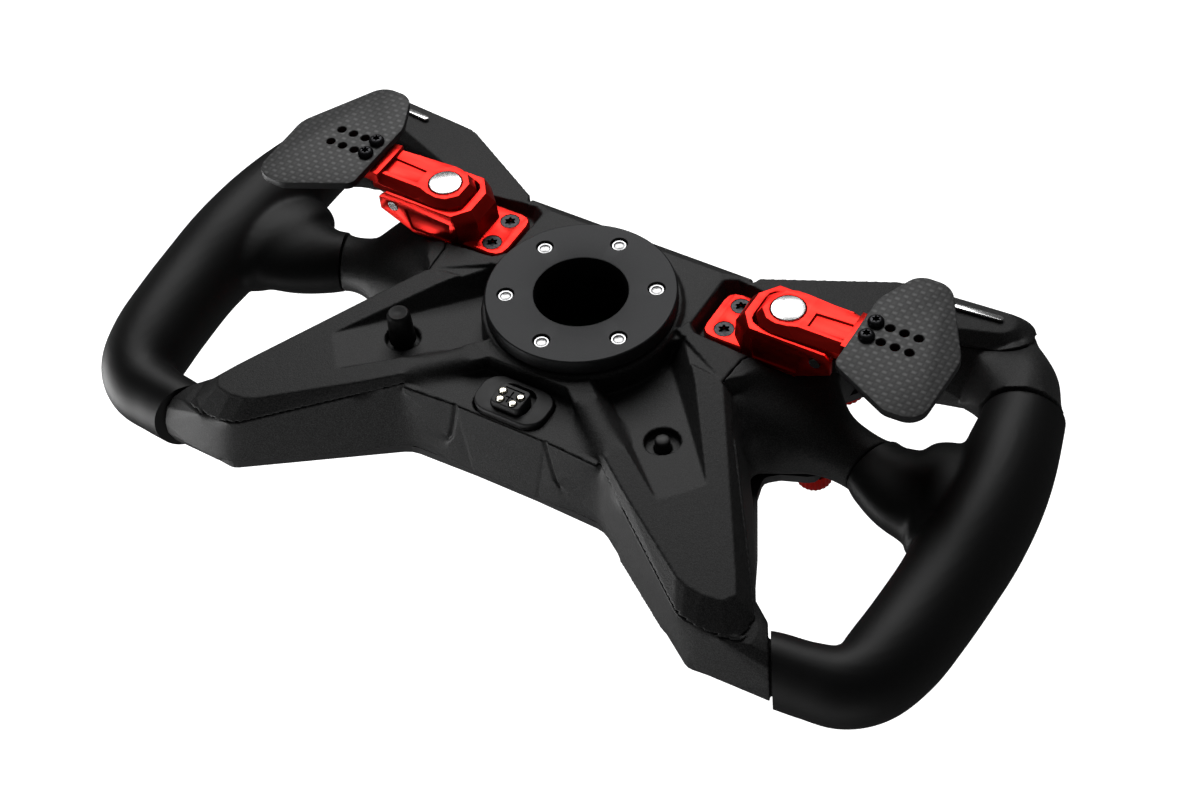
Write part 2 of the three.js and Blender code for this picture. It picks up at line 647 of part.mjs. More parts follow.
function frontButton([x, y]) {
  const face = FACE_Z - 3.6;
  const rim = BUTTON_RADIUS;
  return turned([[0, face], [rim - 0.9, face], [rim, face + 0.8], [rim, -40], [0, -40]], x, y, 12);
}

function frontKnob([x, y, radius]) {
  const near = FACE_Z - GAP;
  const far = near - 6.6;
  const cap = [[0, far], [radius - 1, far], [radius, far + 1], [radius, near]];
  return turned([...cap, [2.8, near], [2.8, -40], [0, -40]], x, y, 16);
}

function circuitBoard() {
  const outline = mirroredOutline([[46, 30, 4], [70, -8, 4], [30, -40, 4]]);
  return plate(outline, BOARD_Z, BOARD_Z + 1.6);
}

// ---- assembly ---------------------------------------------------------------------

const casing = centreBlocks().add(both(sideBlocks().add(necks())));

function coreTube(radius) {
  return tube(CORE_PATH.map(({ at, heading }) => ({ at, heading, wide: radius })), 6);
}

const gripCore = coreTube(CORE_RADIUS);
const coreHole = coreTube(CORE_RADIUS + 2 * GAP);

function grip() {
  const cuts = SEAMS.flatMap((seam) => [beyond(seam, -1, SEAM_GAP), tenon(seam, GAP)]);
  return tube(GRIP_PATH, 14).add(tube(BRANCH_PATH, 14)).subtract(union([...cuts, coreHole]));
}

add('front_housing', biggest(frontHousing(casing).subtract(both(coreHole))), nylon());
add('rear_cover', biggest(rearCover(casing)), nylon());
add('front_plate', frontPlate(), carbon());
add('hub_flange', hubFlange(), anodisedBlack());
insertPlaces().forEach(([x, y], i) => {
  add(`hub_insert_${i + 1}`, bar(x, y, -13, -0.6, INSERT_RADIUS, 12), nickel());
});

addPair('grip', grip(), softRubber);
addPair('grip_core', gripCore, nickel);

addPair('paddle_bracket', bracket(), anodisedRed);
addPair('paddle_lever', lever(), anodisedRed);
addPair('paddle_plate', paddlePlate(), carbon);
addPair('lever_magnet', bar(MAGNET.x, MAGNET.y, -0.8, LEVER_TOP + 0.3, MAGNET.radius, 18), nickel);
addPair('base_magnet', bar(MAGNET.x, MAGNET.y, -7.7, -2.4, 5, 12), nickel);
addPair('hinge_pin', crossBar(PIVOT.x, PIVOT.z, 8.7, 32.6, PIVOT.radius), nickel);
addPair('paddle_switch', block([76, 17, -7.7], [79, 24, -2.2]), gloss);
BRACKET_SCREWS.forEach((place, i) => addPair(`bracket_screw_${i + 1}`, bracketScrew(place), blackSteel));
ROW_Y.forEach((y, i) => addPair(`plate_screw_${i + 1}`, plateScrew(y), blackSteel));

add('connector_pod', connectorPod(), gloss());
add('connector_insulator', connectorInsulator(), gloss());
CONTACTS.forEach(([x, y], i) => {
  add(`contact_pin_${i + 1}`, bar(x, ISLAND.y + y, -11.3, -6.6, 1.2, 10), gold());
});

const NUB = [[0, -20], [2.6, -20], [2.6, -14.6], [4.6, -14.6], [3.9, -2.2], [3.3, -1.5], [0, -1.5]];
const SMALL_BUTTON = [[0, -20], [2.6, -20], [2.6, -12.2], [1.9, -11.6], [0, -11.6]];
add('rear_nub_left', turned(NUB, -RECESS.x, RECESS.y, 16), softRubber());
add('rear_button_right', turned(SMALL_BUTTON, RECESS.x, RECESS.y, 12), blackSteel());

add('circuit_board', circuitBoard(), boardGreen());
BUTTONS.forEach((place, i) => addPair(`front_button_${i + 1}`, frontButton(place), gloss));
KNOBS.forEach((place, i) => addPair(`rotary_knob_${i + 1}`, frontKnob(place), anodisedRed));

export default model;
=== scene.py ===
"""The looks of an open sim-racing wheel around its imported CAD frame."""

import math

import bmesh
import bpy
import numpy as np
from mathutils import Matrix, Vector


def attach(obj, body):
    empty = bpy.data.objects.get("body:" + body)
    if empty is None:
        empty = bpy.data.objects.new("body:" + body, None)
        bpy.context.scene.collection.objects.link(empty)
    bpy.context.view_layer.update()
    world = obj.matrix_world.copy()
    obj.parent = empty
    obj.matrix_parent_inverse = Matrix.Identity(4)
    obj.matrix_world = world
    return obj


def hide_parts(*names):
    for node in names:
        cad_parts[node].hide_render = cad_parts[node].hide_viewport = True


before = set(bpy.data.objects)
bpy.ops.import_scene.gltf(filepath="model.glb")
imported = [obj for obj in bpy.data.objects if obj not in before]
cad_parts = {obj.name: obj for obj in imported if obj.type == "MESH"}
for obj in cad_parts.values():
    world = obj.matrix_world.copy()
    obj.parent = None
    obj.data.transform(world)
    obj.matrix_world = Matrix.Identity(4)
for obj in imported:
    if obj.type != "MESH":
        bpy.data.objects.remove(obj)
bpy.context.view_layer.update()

MM = 0.001
ROOT = "wheel_body"
SIDES = {"right": 1, "left": -1}
FLOOR_Z = -0.3
WHITE = (1, 1, 1, 1)


# ---- camera, floor and light ------------------------------------------------------

def make_camera():
    data = bpy.data.cameras.new("camera")
    data.sensor_width = 36
    data.lens = 69.2
    data.clip_start = 0.01
    camera = bpy.data.objects.new("camera", data)
    bpy.context.scene.collection.objects.link(camera)
    across = Vector((0.85876, 0.50815, -0.06567)).normalized()
    back = Vector((0.38277, -0.55104, 0.74152)).normalized()
    up = back.cross(across).normalized()
    turn = Matrix((across, up, back)).transposed()
    place = Matrix.Translation(Vector((0.31364, -0.44658, 0.54812)))
    camera.matrix_world = place @ turn.to_4x4()
    bpy.context.scene.camera = camera


def area_light(name, at, aim, size, power):
    data = bpy.data.lights.new(name, "AREA")
    data.shape = "RECTANGLE"
    data.size, data.size_y = size
    data.energy = power
    light = bpy.data.objects.new(name, data)
    bpy.context.scene.collection.objects.link(light)
    light.location = at
    light.rotation_euler = (Vector(aim) - Vector(at)).to_track_quat("-Z", "Y").to_euler()


def make_studio():
    world = bpy.data.worlds.new("studio")
    bpy.context.scene.world = world
    world.use_nodes = True
    sky = world.node_tree.nodes["Background"]
    sky.inputs["Color"].default_value = WHITE
    sky.inputs["Strength"].default_value = 0.05
    area_light("key_softbox", (-0.6, 0.88, 1.2), (0, 0, 0), (1.3, 1.0), 17)
    area_light("low_front", (0.05, -0.5, -0.27), (0, -0.05, -0.03), (1.0, 0.25), 0.6)
    area_light("low_left", (-0.6, -0.34, -0.27), (0, 0, -0.03), (0.7, 0.3), 5.5)
    pale = floor_finish()
    bpy.ops.mesh.primitive_plane_add(size=14, location=(0, 0, FLOOR_Z))
    set_stage("floor", pale)
    wall_height = 9
    bpy.ops.mesh.primitive_cylinder_add(radius=6.9, depth=wall_height, end_fill_type="NOTHING",
                                        location=(0, 0, wall_height / 2 + FLOOR_Z))
    wall = set_stage("backdrop", pale)
    wall.visible_diffuse = False
    bpy.context.scene.view_settings.view_transform = "Standard"


def set_stage(name, finish):
    """Names the shape just added and gives it a finish; the wheel doesn't mirror it."""
    shape = bpy.context.object
    shape.name = name
    shape.data.materials.append(finish)
    shape.visible_glossy = False
    return shape


# ---- finishes -----------------------------------------------------------------------

class Finish:
    """A Principled material and short ways to add procedural detail to it."""

    def __init__(self, name, colour, roughness, metallic=0.0, specular=0.5):
        self.material = bpy.data.materials.new(name)
        self.material.use_nodes = True
        self.nodes = self.material.node_tree.nodes
        self.links = self.material.node_tree.links
        self.shader = self.nodes["Principled BSDF"]
        self.set("Base Color", (*colour, 1))
        self.set("Roughness", roughness)
        self.set("Metallic", metallic)
        self.set("Specular IOR Level", specular)
        self.height = None

    def set(self, socket, value):
        self.shader.inputs[socket].default_value = value

    def coordinates(self, stretch=(1, 1, 1)):
        """Object coordinates, in metres, stretched along each axis."""
        source = self.nodes.new("ShaderNodeTexCoord")
        mapping = self.nodes.new("ShaderNodeMapping")
        mapping.inputs["Scale"].default_value = stretch
        self.links.new(source.outputs["Object"], mapping.inputs["Vector"])
        return mapping.outputs["Vector"]

    def noise(self, scale, detail=2.0, rough=0.5, stretch=(1, 1, 1)):
        node = self.nodes.new("ShaderNodeTexNoise")
        node.inputs["Scale"].default_value = scale
        node.inputs["Detail"].default_value = detail
        node.inputs["Roughness"].default_value = rough
        self.links.new(self.coordinates(stretch), node.inputs["Vector"])
        return node.outputs["Fac"]

    def ramp(self, value, low, high, stops=(0.0, 1.0)):
        """Maps a value between two greys or colours."""
        node = self.nodes.new("ShaderNodeValToRGB")
        for element, position, colour in zip(node.color_ramp.elements, stops, (low, high)):
            element.position = position
            element.color = (*colour, 1)
        self.links.new(value, node.inputs["Fac"])
        return node.outputs["Color"]

    def math(self, operation, a, b=0.0, c=0.0):
        node = self.nodes.new("ShaderNodeMath")
        node.operation = operation
        for socket, value in zip(node.inputs, (a, b, c)):
            if isinstance(value, (int, float)):
                socket.default_value = value
            else:
                self.links.new(value, socket)
        return node.outputs["Value"]

    def mix(self, factor, a, b):
        node = self.nodes.new("ShaderNodeMix")
        node.data_type = "RGBA"
        self.links.new(factor, node.inputs["Factor"])
        for socket, value in ((node.inputs["A"], a), (node.inputs["B"], b)):
            if isinstance(value, tuple):
                socket.default_value = (*value, 1)
            else:
                self.links.new(value, socket)
        return node.outputs["Result"]

    def edge(self, low, high):
        """1 along outward edges, 0 elsewhere."""
        geometry = self.nodes.new("ShaderNodeNewGeometry")
        return self.ramp(geometry.outputs["Pointiness"], (0, 0, 0), (1, 1, 1), (low, high))

    def colour(self, value):
        self.links.new(value, self.shader.inputs["Base Color"])

    def roughness(self, value, low, high):
        self.links.new(self.ramp(value, (low,) * 3, (high,) * 3), self.shader.inputs["Roughness"])

    def bump(self, value, distance, strength=1.0):
        """Adds a bump layer; the distance is in metres."""
        node = self.nodes.new("ShaderNodeBump")
        node.inputs["Distance"].default_value = distance
        node.inputs["Strength"].default_value = strength
        self.links.new(value, node.inputs["Height"])
        if self.height is not None:
            self.links.new(self.height, node.inputs["Normal"])
        self.height = node.outputs["Normal"]
        self.links.new(self.height, self.shader.inputs["Normal"])


def floor_finish():
    finish = Finish("pale_floor", (0.9, 0.9, 0.9), 0.9, specular=0.1)
    finish.set("Emission Color", WHITE)
    finish.set("Emission Strength", 0.9)
    grain = finish.noise(6, 3)
    finish.colour(finish.ramp(grain, (0.88, 0.88, 0.88), (0.92, 0.92, 0.92)))
    return finish.material


def nylon_finish():
    """Black glass-filled nylon: spark-eroded grain with paler flecks of fibre."""
    finish = Finish("grained_nylon", (0.008, 0.0082, 0.0085), 0.55, specular=0.3)
    fleck = finish.noise(2600, 2, 0.6)
    cloud = finish.noise(30, 3)
    dark = finish.ramp(cloud, (0.0045, 0.0046, 0.0047), (0.0065, 0.0066, 0.0067))
    grain = finish.mix(finish.ramp(fleck, (0, 0, 0), (1, 1, 1), (0.4, 0.66)), dark, (0.031, 0.0312, 0.0315))
    worn = finish.math("MULTIPLY", finish.edge(0.53, 0.66), 0.05)
    finish.colour(finish.mix(worn, grain, (0.05, 0.051, 0.052)))
    finish.roughness(fleck, 0.46, 0.62)
    finish.bump(fleck, 0.00012, 0.55)
    finish.bump(finish.noise(900, 2), 0.00016, 0.35)
    return finish.material


def hub_finish():
    """Bead-blasted aluminium under a black anodised layer."""
    finish = Finish("blasted_anodised_black", (0.022, 0.0225, 0.024), 0.42, 0.55, 0.4)
    blast = finish.noise(3200, 2, 0.6)
    finish.colour(finish.ramp(blast, (0.011, 0.0113, 0.012), (0.027, 0.0275, 0.029), (0.35, 0.7)))
    finish.roughness(blast, 0.4, 0.55)
    finish.bump(blast, 0.00008, 0.4)
    return finish.material


def rubber_finish():
    """Soft-touch moulded rubber: an even satin black with a very fine grain."""
    finish = Finish("soft_touch_rubber", (0.005, 0.005, 0.0052), 0.5, specular=0.26)
    fine = finish.noise(2600, 2)
    handled = finish.noise(18, 3)
    finish.colour(finish.ramp(handled, (0.0042, 0.0042, 0.0044), (0.0062, 0.0062, 0.0064)))
    finish.roughness(handled, 0.46, 0.56)
    finish.bump(fine, 0.00006, 0.35)
    return finish.material


def weave_finish():
    """Matte plain-weave carbon fibre, with tows about 2 mm wide along X and Y; its colour holds a painted
    sheen on the upper tows, a duller painted sheen on the crossing tows and painted shade towards each tow's
    edges.
    """
    finish = Finish("woven_carbon", (0.05, 0.05, 0.052), 0.5, specular=0.35)
    place = finish.nodes.new("ShaderNodeSeparateXYZ")
    finish.links.new(finish.coordinates(), place.inputs["Vector"])
    tows_per_metre = 480.0
    u, v = (finish.math("MULTIPLY", place.outputs[axis], tows_per_metre) for axis in ("X", "Y"))
    cell = finish.math("ADD", finish.math("FLOOR", u), finish.math("FLOOR", v))
    over = finish.math("LESS_THAN", finish.math("FLOORED_MODULO", cell, 2.0), 0.5)
    bow_u, bow_v = (finish.math("SINE", finish.math("MULTIPLY", finish.math("FRACT", w), math.pi))
                    for w in (u, v))
    long_float = finish.math("MULTIPLY", finish.math("POWER", bow_u, 0.8), finish.math("POWER", bow_v, 2.2))
    cross_float = finish.math("MULTIPLY", finish.math("POWER", bow_v, 0.8), finish.math("POWER", bow_u, 1.6))
    # Painted light: the upper tows get a bright painted sheen and the crossing tows a dull one (0.32 of it),
    # each fading to painted shade at the tow's edges; the cloud adds random tone.
    bright = finish.math("MULTIPLY", over, long_float)
    dull = finish.math("MULTIPLY", finish.math("SUBTRACT", 1.0, over), cross_float)
    shade = finish.math("MULTIPLY_ADD", dull, 0.32, bright)
    cloud = finish.math("MULTIPLY", finish.noise(60, 2), 0.25)
    sheen_and_mottle = finish.math("ADD", shade, cloud)
    finish.colour(finish.ramp(sheen_and_mottle, (0.015, 0.0151, 0.0153), (0.085, 0.0855, 0.086)))
    finish.roughness(bright, 0.5, 0.38)
    finish.bump(finish.math("ADD", bright, dull), 0.00008, 0.5)
    return finish.material


def anodised_red_finish():
    """Red anodised aluminium with a faint drawn grain."""
    finish = Finish("anodised_red", (0.8, 0.018, 0.012), 0.3, 0.92)
    fine = finish.noise(2200, 2)
    drawn = finish.noise(260, 2, 0.5, (0.12, 1, 1))
    finish.colour(finish.ramp(drawn, (0.72, 0.012, 0.008), (0.9, 0.024, 0.016), (0.3, 0.7)))
    finish.roughness(fine, 0.26, 0.36)
    finish.bump(fine, 0.00003, 0.3)
    return finish.material


def bright_red_finish():
    """Diamond-cut chamfers on the red parts."""
    finish = Finish("cut_red", (0.9, 0.09, 0.07), 0.18, 1.0)
    lines = finish.noise(900, 2, 0.5, (0.05, 1, 1))
    finish.colour(finish.ramp(lines, (0.82, 0.03, 0.025), (0.95, 0.09, 0.07)))
    finish.roughness(lines, 0.14, 0.24)
    finish.bump(lines, 0.00002, 0.2)
    return finish.material


def metal_finish(name, low, high, roughness, scale=700):
    finish = Finish(name, high, roughness, 1.0)
    rub = finish.noise(scale, 3)
    finish.colour(finish.ramp(rub, low, high, (0.3, 0.7)))
    finish.roughness(rub, roughness, roughness + 0.12)
    finish.bump(rub, 0.00002, 0.25)
    return finish.material


def plastic_finish(name, low, high, roughness, scale=900):
    finish = Finish(name, high, roughness, specular=0.4)
    grain = finish.noise(scale, 3)
    finish.colour(finish.ramp(grain, low, high))
    finish.roughness(grain, roughness, roughness + 0.12)
    finish.bump(grain, 0.00004, 0.3)
    return finish.material


def make_finishes():
    return {
        "nylon": nylon_finish(),
        "hub": hub_finish(),
        "rubber": rubber_finish(),
        "weave": weave_finish(),
        "red": anodised_red_finish(),
        "cut_red": bright_red_finish(),
        "nickel": metal_finish("bright_nickel", (0.72, 0.72, 0.72), (0.9, 0.9, 0.9), 0.2),
        "insert": metal_finish("zinc_steel", (0.32, 0.32, 0.32), (0.6, 0.6, 0.61), 0.28),
        "black_steel": metal_finish("black_steel", (0.018, 0.018, 0.02), (0.05, 0.05, 0.053), 0.3, 1500),
        "gold": metal_finish("contact_gold", (0.8, 0.74, 0.58), (0.98, 0.95, 0.85), 0.16),
        "gloss": plastic_finish("semi_gloss_plastic", (0.006, 0.006, 0.0065), (0.011, 0.011, 0.012), 0.32),
        "core": plastic_finish("insulator_plastic", (0.01, 0.01, 0.0105), (0.018, 0.018, 0.019), 0.5),
        "button": plastic_finish("button_plastic", (0.008, 0.008, 0.0085), (0.014, 0.014, 0.015), 0.42),
        "board": plastic_finish("solder_mask", (0.004, 0.03, 0.012), (0.008, 0.05, 0.02), 0.35, 300),
    }


# ---- mesh building, in millimetres ------------------------------------------------------

def mesh_from(vertices, faces):
    mesh = bpy.data.meshes.new("piece")
    mesh.from_pydata([tuple(v) for v in vertices], [], faces)
    return mesh


def lathe(profile, segments=48, at=(0, 0), closed=False, ripple=None):
    """Turns [radius, z] points, listed from the lowest z up, about the Z axis through a point."""
    vertices, faces = [], []
    for radius, z in profile:
        for i in range(segments):
            angle = 2 * math.pi * i / segments
            reach = radius * (1 + (ripple(radius, z, i) if ripple else 0))
            vertices.append((at[0] + reach * math.cos(angle), at[1] + reach * math.sin(angle), z))
    rows = len(profile)
    for row in range(rows if closed else rows - 1):
        low, high = row * segments, (row + 1) % rows * segments
        for i in range(segments):
            j = (i + 1) % segments
            faces.append((low + i, low + j, high + j, high + i))
    if not closed:
        faces.append(tuple(reversed(range(segments))))
        faces.append(tuple(range((rows - 1) * segments, rows * segments)))
    return mesh_from(vertices, faces)


def rounded(corners, steps=10):
    """An outline whose corners [x, y, radius] become arcs."""
    points = []
    count = len(corners)
    for i, (x, y, radius) in enumerate(corners):
        corner = Vector((x, y))
        before = (Vector(corners[i - 1][:2]) - corner).normalized()
        after = (Vector(corners[(i + 1) % count][:2]) - corner).normalized()
        half = before.angle(after) / 2
        if radius <= 0 or half > 1.56:
            points.append(corner)
            continue
        start = corner + before * (radius / math.tan(half))
        centre = corner + (before + after).normalized() * (radius / math.sin(half))
        first = start - centre
        sweep = first.angle_signed(corner + after * (radius / math.tan(half)) - centre)
        for k in range(steps + 1):
            points.append(centre + Matrix.Rotation(-sweep * k / steps, 2) @ first)
    return [tuple(p) for p in points]


def area(outline):
    return sum(a[0] * b[1] - b[0] * a[1] for a, b in zip(outline, outline[1:] + outline[:1])) / 2


def inset(outline, distance):
    """The anticlockwise outline moved inwards."""
    moved = []
    for i, point in enumerate(outline):
        before = (Vector(point) - Vector(outline[i - 1])).normalized()
        after = (Vector(outline[(i + 1) % len(outline)]) - Vector(point)).normalized()
        normal = Vector((-before.y - after.y, before.x + after.x)) / (1 + max(before.dot(after), -0.5))
        moved.append(tuple(Vector(point) + normal * distance))
    return moved


def slab(outline, low, high, bevel=0.4, steps=3):
    """A flat plate with rounded edges."""
    outline = [tuple(p) for p in outline]
    if area(outline) < 0:
        outline.reverse()
    rings = []
    for k in range(steps + 1):
        angle = math.pi / 2 * k / steps
        rings.append((bevel * (1 - math.sin(angle)), low + bevel * (1 - math.cos(angle))))
    rings += [(reach, low + high - z) for reach, z in reversed(rings)]
    vertices = [(x, y, z) for reach, z in rings for x, y in inset(outline, reach)]
    size = len(outline)
    faces = [tuple(reversed(range(size))), tuple(range((len(rings) - 1) * size, len(rings) * size))]
    for row in range(len(rings) - 1):
        for i in range(size):
            j = (i + 1) % size
            faces.append((row * size + i, row * size + j, (row + 1) * size + j, (row + 1) * size + i))
    return mesh_from(vertices, faces)


def box_mesh(low, high):
    return slab([(low[0], low[1]), (high[0], low[1]), (high[0], high[1]), (low[0], high[1])],
                low[2], high[2], 0.2, 2)


def temporary(mesh):
    piece = bpy.data.objects.new("temporary", mesh)
    bpy.context.scene.collection.objects.link(piece)
    return piece


def baked(piece):
    """The piece's mesh with its modifiers applied; the piece is removed."""
    graph = bpy.context.evaluated_depsgraph_get()
    mesh = bpy.data.meshes.new_from_object(piece.evaluated_get(graph))
    bpy.data.objects.remove(piece)
    return mesh


def cut(mesh, tools):
    """The mesh with every tool cut out of it."""
    piece = temporary(mesh)
    helpers = [temporary(tool) for tool in tools]
    for helper in helpers:
        modifier = piece.modifiers.new("boolean", "BOOLEAN")
        modifier.operation = "DIFFERENCE"
        modifier.solver = "EXACT"
        modifier.object = helper
    result = baked(piece)
    for helper in helpers:
        bpy.data.objects.remove(helper)
    return result


def joined(meshes):
    """Several meshes as one, without a boolean."""
    made = bmesh.new()
    for mesh in meshes:
        made.from_mesh(mesh)
    result = bpy.data.meshes.new("piece")
    made.to_mesh(result)
    made.free()
    return result


def remeshed(mesh, voxel):
    """One closed skin over a mesh whose parts may overlap."""
    piece = temporary(mesh)
    modifier = piece.modifiers.new("remesh", "REMESH")
    modifier.mode = "VOXEL"
    modifier.voxel_size = voxel
    return baked(piece)


def soften(mesh, rounds, weight=None, keep_volume=True):
    """Evens out a mesh; weight gives each point's share from its place in millimetres.

    With keep_volume every second round pushes back, so that only small steps go; without it
    corners melt into curves."""
    place = np.empty(len(mesh.vertices) * 3)
    mesh.vertices.foreach_get("co", place)
    place = place.reshape(-1, 3)
    edges = np.empty(len(mesh.edges) * 2, int)
    mesh.edges.foreach_get("vertices", edges)
    edges = edges.reshape(-1, 2)
    share = np.ones(len(place)) if weight is None else weight(place)
    used, ends = np.unique(edges[share[edges].max(1) > 0], return_inverse=True)
    a, b = ends.reshape(-1, 2).T
    spot, part, count = place[used], share[used], len(used)
    degree = np.maximum(np.bincount(a, minlength=count) + np.bincount(b, minlength=count), 1)
    for turn in range(rounds):
        step = 0.5 if turn % 2 == 0 or not keep_volume else -0.52
        total = np.stack([np.bincount(a, spot[b, k], count) + np.bincount(b, spot[a, k], count)
                          for k in range(3)], 1)
        spot += (step * part)[:, None] * (total / degree[:, None] - spot)
    place[used] = spot
    mesh.vertices.foreach_set("co", place.ravel())
    mesh.update()
    return mesh


def chamfered(mesh, width=0.4, angle=28):
    """Rounds a mesh's sharp edges; the new faces take its second material."""
    for _ in range(2):
        mesh.materials.append(None)
    piece = temporary(mesh)
    weld = piece.modifiers.new("weld", "WELD")
    weld.merge_threshold = 1e-3
    flat = piece.modifiers.new("flat", "DECIMATE")
    flat.decimate_type = "DISSOLVE"
    flat.angle_limit = math.radians(0.6)
    bevel = piece.modifiers.new("bevel", "BEVEL")
    bevel.width = width
    bevel.segments = 2
    bevel.limit_method = "ANGLE"
    bevel.angle_limit = math.radians(angle)
    bevel.material = 1
    bevel.harden_normals = False
    return baked(piece)


def cad_copy(node):
    """A CAD node's mesh in millimetres, with its split points welded."""
    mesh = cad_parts[node].data.copy()
    mesh.materials.clear()
    mesh.transform(Matrix.Scale(1 / MM, 4))
    made = bmesh.new()
    made.from_mesh(mesh)
    bmesh.ops.remove_doubles(made, verts=made.verts, dist=2e-4)
    made.to_mesh(mesh)
    made.free()
    return mesh


def flipped(mesh):
    """The same mesh on the wheel's other side."""
    other = mesh.copy()
    other.transform(Matrix.Scale(-1, 4, (1, 0, 0)))
    other.flip_normals()
    return other


# ---- adding pieces ----------------------------------------------------------------------------

def place(name, mesh, body, slot, finishes, nodes=(), smooth=35):
    """Adds a finished piece, built in millimetres, to a CAD body."""
    mesh.transform(Matrix.Scale(MM, 4))
    chosen = np.empty(len(mesh.polygons), np.int32)
    mesh.polygons.foreach_get("material_index", chosen)
    mesh.materials.clear()
    for finish in finishes:
        mesh.materials.append(finish)
    mesh.polygons.foreach_set("material_index", np.minimum(chosen, len(finishes) - 1))
    mesh.name = name
    piece = bpy.data.objects.new(name, mesh)
    bpy.context.scene.collection.objects.link(piece)
    mesh.shade_smooth()
    if smooth:
        mesh.set_sharp_from_angle(angle=math.radians(smooth))
    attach(piece, body)
    if nodes:
        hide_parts(*nodes)


def place_pair(name, mesh, body, slot, finishes, node=None, smooth=35):
    """Adds a right-hand piece and its mirror image."""
    meshes = {"right": mesh, "left": flipped(mesh)}
    for side, shape in meshes.items():
        nodes = [f"{node}_{side}"] if node else []
        place(f"{name}_{side}", shape, body.format(side), slot, finishes, nodes, smooth)


def dress(node, finish):
    """Gives a CAD node that keeps its own shape a better finish."""
    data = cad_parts[node].data
    data.materials.clear()
    data.materials.append(finish)


# ---- casing -----------------------------------------------------------------------------------

CASING_VOXEL = 0.45
PANEL_LINE = [(16.8, -53.4, -11), (18.5, -54.1, -20), (20.5, -54.7, -29), (23.3, -55.1, -32.8),
              (28, -55.3, -33.9), (34, -55.6, -33.5)]
GROOVE_RADIUS = 0.8
FILLER_AT = (67.5, -9.5, -25.5)
FILLER_RADIUS = 5.5


def groove_cutter(points):
    """A round bar along a line, for cutting a groove."""
    curve = bpy.data.curves.new("groove", "CURVE")
    curve.dimensions = "3D"
    curve.bevel_depth = GROOVE_RADIUS
    curve.use_fill_caps = True
    line = curve.splines.new("POLY")
    line.points.add(len(points) - 1)
    for spot, point in zip(line.points, points):
        spot.co = (*point, 1)
    return baked(temporary(curve))


def filler(side):
    """A ball that fills the notch under a spoke's root before the casing is remeshed."""
    x, y, z = FILLER_AT
    rows = 12
    profile = [(FILLER_RADIUS * math.sin(math.pi * i / rows) + 0.001,
                z - FILLER_RADIUS * math.cos(math.pi * i / rows)) for i in range(rows + 1)]
    return lathe(profile, 24, (side * x, y))


def ramped(value, start, width):
    """0 up to start, then rising to 1 over a width."""
    return np.clip((value - start) / width, 0, 1)


def within(x, y, centre, reach, fade):
    """1 round a centre, falling to 0 at its reach."""
    return ramped(-np.hypot(x - centre[0], y - centre[1]), -reach, fade)


def arm_tip(x, y):
    return within(x, y, (134, 74), 9, 6)


def flowing(spot):
    """Where the housing flows in soft curves: spokes, necks, arm tips, waist and lower corners."""
    x, y, z = np.abs(spot[:, 0]), spot[:, 1], spot[:, 2]
    spoke = ramped(x, 62, 6) * ramped(-y, -24, 5) * ramped(y, -24, 5) * ramped(-z, 9, 3)
    neck = ramped(y, 38, 4) * ramped(x, 122, 12) * ramped(-z, 17, 8)
    waist = within(x, y, (38, -56), 16, 5) * ramped(-z, 14.5, 2)
    corner = within(x, y, (87, -89), 13, 5) * ramped(-z, 24, 3)
    back_edge = ramped(z, -42.5, 2)
    parts = [spoke, neck, arm_tip(x, y), waist * back_edge, corner * back_edge]
    return np.maximum.reduce(parts) * inner_only(x, y)


def sweeping(spot):
    """Where the cover's lower ledge sweeps up into each lower rib, and its upper outer corners."""
    x, y = np.abs(spot[:, 0]), spot[:, 1]
    ledge = within(x, y, (31, -44), 12, 5) * ramped(y, -52.5, 2)
    return np.maximum(ledge, arm_tip(x, y))


def inner_only(x, y):
    """0 right at the seam of each neck, so that the seam stays sharp, and 1 away from it."""
    share = np.ones(len(x))
    for (at_x, at_y), heading in GRIP_SEAMS:
        along = (x - at_x) * math.cos(heading) + (y - at_y) * math.sin(heading)
        close = np.hypot(x - at_x, y - at_y) < 25
        share = np.where(close, np.minimum(share, ramped(-along, 0.6, 3)), share)
    return share


def make_casing(look):
    sides = SIDES.values()
    grooves = [groove_cutter([(side * x, y, z) for x, y, z in PANEL_LINE]) for side in sides]
    grooved = cut(cad_copy("front_housing"), grooves)
    filled = joined([grooved, *[filler(side) for side in sides]])
    housing = soften(remeshed(filled, CASING_VOXEL), 14)
    soften(housing, 420, flowing, keep_volume=False)
    place("housing_shell", housing, ROOT, "housing_nylon", [look["nylon"]], ["front_housing"], smooth=0)
    cover = soften(remeshed(cad_copy("rear_cover"), CASING_VOXEL), 14)
    soften(cover, 160, sweeping, keep_volume=False)
    place("cover_shell", cover, ROOT, "cover_nylon", [look["nylon"]], ["rear_cover"], smooth=0)


# ---- grips ------------------------------------------------------------------------------------

GRIP_LINE = [
    (142.2, 47, 13.7, 13.7), (144, 40, 14.2, 14.2), (146.5, 24, 15.8, 15.8), (148.3, 8, 16.6, 16.6),
    (148.9, -10, 16.9, 16.9), (149, -28, 16, 16), (147.9, -44.4, 15.7, 15.7), (146.2, -58.5, 15.4, 15.4),
    (142.9, -70.5, 14.2, 14.6), (136.4, -77.6, 12.6, 13.8), (126.1, -80.2, 11.2, 13.6),
    (113.4, -82, 10.7, 13.8), (104, -87, 10.5, 13.6)]
BRANCH_LINE = [
    (103, 7, 11.4, 9.8, -39), (107, 5.4, 11.6, 10, -38.7), (113, 2.6, 13.6, 10.6, -38.2),
    (121, 0.8, 17, 11.6, -37.5), (131, 1.5, 23, 13.2, -36.8), (146, 0, 27, 13.4, -36.4)]
GRIP_SEAMS = [((143, 43.5), -1.3), ((106.3, 5.7), -0.4), ((113.4, -81.2), 0.51)]
SEAM_GAP = 0.8


